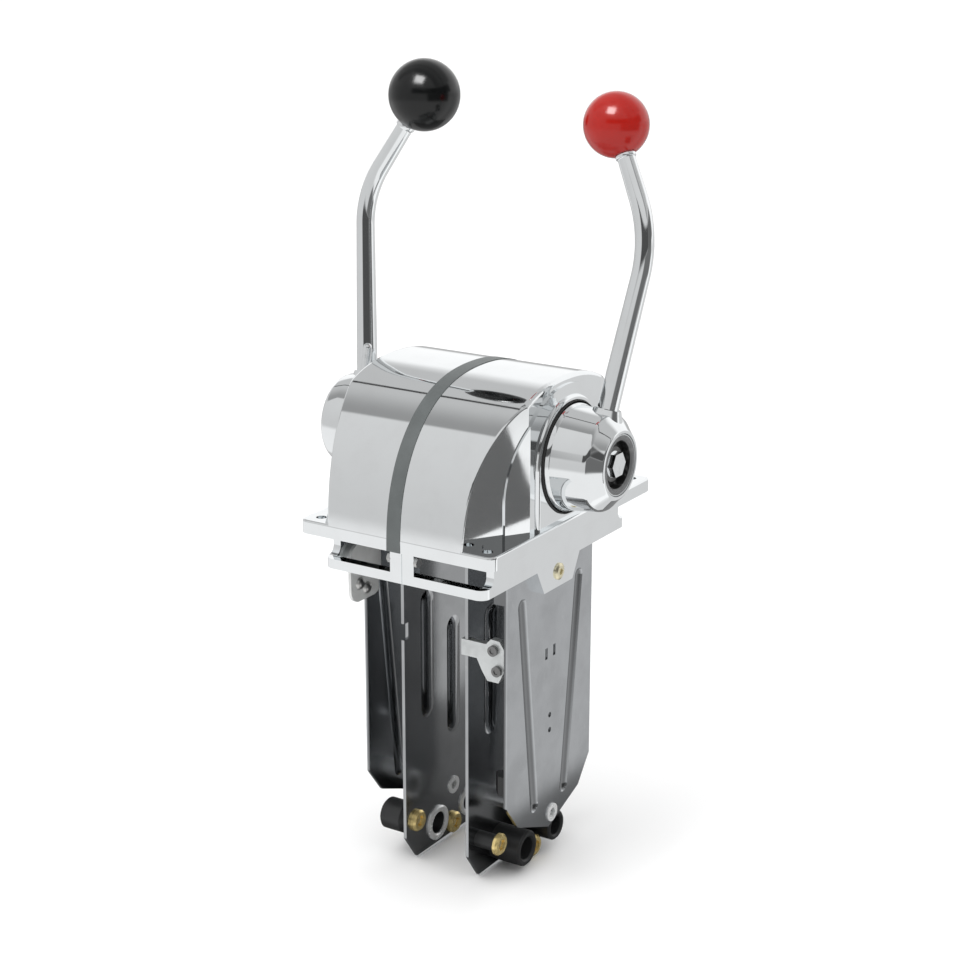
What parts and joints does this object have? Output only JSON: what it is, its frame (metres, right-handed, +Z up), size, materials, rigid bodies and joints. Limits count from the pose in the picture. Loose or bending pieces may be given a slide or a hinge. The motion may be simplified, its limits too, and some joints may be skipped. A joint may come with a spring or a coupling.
{
  "type": "boat throttle control lever",
  "caption": "Deck-top twin-lever engine control: chromed domed housing, shift and throttle levers with ball knobs, and hanging mechanism plates with cable cranks.",
  "frame": {"origin": "centre of the deck flange on the face that rests on the deck", "axes": "+X towards the throttle side along the lever hubs, +Y towards the back, +Z up"},
  "size_m": [0.2024, 0.1803, 0.4709],
  "materials": {
    "chrome": "polished",
    "trim": "satin",
    "steel": "satin",
    "plate_grey": "satin",
    "dark_plastic": "satin",
    "brass": "plated",
    "nylon": "matte",
    "knob_black": "gloss",
    "knob_red": "gloss"
  },
  "bodies": {
    "unit": {"housing_left": "chrome", "housing_right": "chrome", "stop_bracket": "chrome", "centre_trim_strip": "trim", "joint_screws": "steel", "tab_screws": "steel", "plate_spacers": "steel", "spacer_screws": "steel", "spacer_nuts": "steel", "switch_bracket": "steel", "ear_screws": "steel", "anchor_rims": "steel", "anchor_studs": "steel", "brake_bar": "steel", "detent_bar": "steel", "brake_screw": "steel", "detent_plunger": "steel", "bracket_screws": "steel", "plate_eyelets": "steel", "outer_plate_left": "plate_grey", "outer_plate_right": "plate_grey", "inner_plate_left": "plate_grey", "inner_plate_right": "plate_grey", "cable_anchors_left": "dark_plastic", "cable_anchors_right": "dark_plastic", "anchor_posts": "dark_plastic", "shift_barrel": "dark_plastic", "cable_guides": "dark_plastic", "brake_shoe": "dark_plastic", "anchor_nuts": "brass", "outer_bushes": "nylon", "inner_bushes": "nylon"},
    "shift": {"shift_hub": "chrome", "shift_hub_ring": "dark_plastic", "shift_hub_screw": "chrome", "shift_lever_rod": "chrome", "shift_knob": "knob_black", "shift_shaft": "steel", "shift_circlip": "steel", "shift_crank": "steel", "shift_crank_pin": "steel", "shift_cable_pins": "steel"},
    "throttle": {"throttle_hub": "chrome", "throttle_hub_ring": "dark_plastic", "throttle_hub_screw": "chrome", "throttle_lever_rod": "chrome", "throttle_knob": "knob_red", "throttle_shaft": "steel", "throttle_circlip": "steel", "throttle_crank": "steel", "throttle_crank_pin": "steel", "throttle_cable_pins": "steel"}
  },
  "joints": [
    {"name": "shift_lever", "type": "hinge", "parent": "unit", "child": "shift", "pos_m": [-0.07, -0.002, 0.043], "axis": [1, 0, 0], "range_deg": [-35, 35]},
    {"name": "throttle_lever", "type": "hinge", "parent": "unit", "child": "throttle", "pos_m": [0.07, -0.002, 0.043], "axis": [1, 0, 0], "range_deg": [0, 70]}
  ]
}
